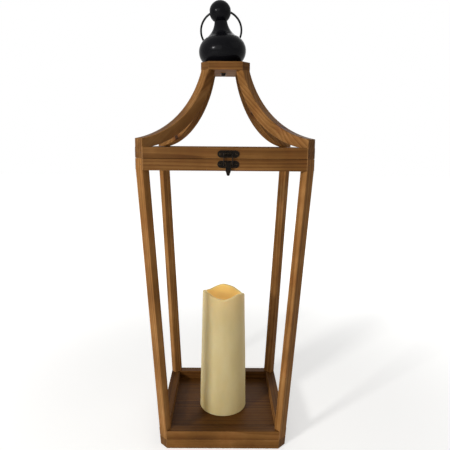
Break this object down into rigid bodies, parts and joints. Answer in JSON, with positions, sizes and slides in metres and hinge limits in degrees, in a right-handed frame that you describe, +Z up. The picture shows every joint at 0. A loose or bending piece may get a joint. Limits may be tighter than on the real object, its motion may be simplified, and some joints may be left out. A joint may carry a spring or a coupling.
{
  "type": "lantern floor lamp",
  "caption": "Open wooden lantern with leaning corner posts, curved roof struts, hinged lid, black ball finial with carrying ring and an LED pillar candle.",
  "frame": {"origin": "middle of the underside of the base board", "axes": "+Z up, +X to the right seen from the front, -Y towards the front where the latch is"},
  "size_m": [0.25, 0.2614, 0.7005],
  "materials": {
    "wood": "oiled, brown stained, visible grain and knots",
    "finial_black": "glossy black enamel",
    "ring_black": "black enamelled wire",
    "bronze": "dark antique bronze",
    "zinc_steel": "zinc plated",
    "wax": "ivory wax, softly satin, warm glow near the rim",
    "ivory_plastic": "fine matt",
    "black_plastic": "fine matt",
    "amber_diffuser": "frosted amber",
    "board_green": "solder mask",
    "led_lens": "clear warm lens",
    "cell_jacket": "printed jacket, plain",
    "contact_metal": "nickel plated"
  },
  "bodies": {
    "frame": {"base_board": "wood", "base_screws": "zinc_steel", "frame_brads": "zinc_steel", "hinge_frame_leaf_left": "bronze", "hinge_frame_leaf_right": "bronze", "hinge_frame_screws": "bronze", "hinge_pins": "bronze", "lower_rail_front": "wood", "lower_rail_left": "wood", "lower_rail_rear": "wood", "lower_rail_right": "wood", "post_front_left": "wood", "post_front_right": "wood", "post_rear_left": "wood", "post_rear_right": "wood", "upper_rail_front": "wood", "upper_rail_left": "wood", "upper_rail_rear": "wood", "upper_rail_right": "wood", "latch_base_plate": "bronze", "latch_base_screws": "bronze", "latch_pin": "bronze"},
    "lid": {"crown_cap": "wood", "crown_rail_front": "wood", "crown_rail_left": "wood", "crown_rail_rear": "wood", "crown_rail_right": "wood", "finial": "finial_black", "finial_nut": "zinc_steel", "finial_stud": "zinc_steel", "finial_washer": "zinc_steel", "hinge_lid_leaf_left": "bronze", "hinge_lid_leaf_right": "bronze", "hinge_lid_screws": "bronze", "lid_brads": "zinc_steel", "lid_rail_front": "wood", "lid_rail_left": "wood", "lid_rail_rear": "wood", "lid_rail_right": "wood", "strut_front_left": "wood", "strut_front_right": "wood", "strut_rear_left": "wood", "strut_rear_right": "wood", "latch_catch_plate": "bronze", "latch_catch_screws": "bronze"},
    "carrying_ring": {"carrying_ring": "ring_black"},
    "latch_lever": {"latch_lever": "bronze"},
    "latch_bail": {"latch_bail": "bronze"},
    "candle": {"candle_batteries": "cell_jacket", "candle_battery_cover": "ivory_plastic", "candle_board": "board_green", "candle_contacts": "contact_metal", "candle_cover_screw": "zinc_steel", "candle_diffuser": "amber_diffuser", "candle_housing": "ivory_plastic", "candle_leds": "led_lens", "candle_mast": "ivory_plastic", "candle_wax": "wax"},
    "candle_switch": {"candle_switch": "black_plastic"}
  },
  "joints": [
    {"name": "lid_hinge", "type": "hinge", "parent": "frame", "child": "lid", "pos_m": [0, 0.1273, 0.4616], "axis": [-1, 0, 0], "range_deg": [0, 180]},
    {"name": "ring_swing", "type": "hinge", "parent": "lid", "child": "carrying_ring", "pos_m": [-0.00874, 0, 0.68361], "axis": [0.9976, 0, 0.0698], "range_deg": [0, 285.8]},
    {"name": "latch_lever_turn", "type": "hinge", "parent": "frame", "child": "latch_lever", "pos_m": [0.0045, -0.1281, 0.456], "axis": [-1, 0, 0], "range_deg": [0, 110]},
    {"name": "latch_bail_turn", "type": "hinge", "parent": "latch_lever", "child": "latch_bail", "pos_m": [0.0045, -0.1293, 0.452], "axis": [-1, 0, 0], "range_deg": [-165, 0]},
    {"name": "candle_lift", "type": "slide", "parent": "frame", "child": "candle", "axis": [0, 0, 1], "range_m": [0, 0.25]},
    {"name": "candle_switch_slide", "type": "slide", "parent": "candle", "child": "candle_switch", "axis": [1, 0, 0], "range_m": [0, 0.004]}
  ],
  "couplings": [
    {"joint": "latch_bail_turn", "follows": "latch_lever_turn", "ratio": -1.5}
  ]
}
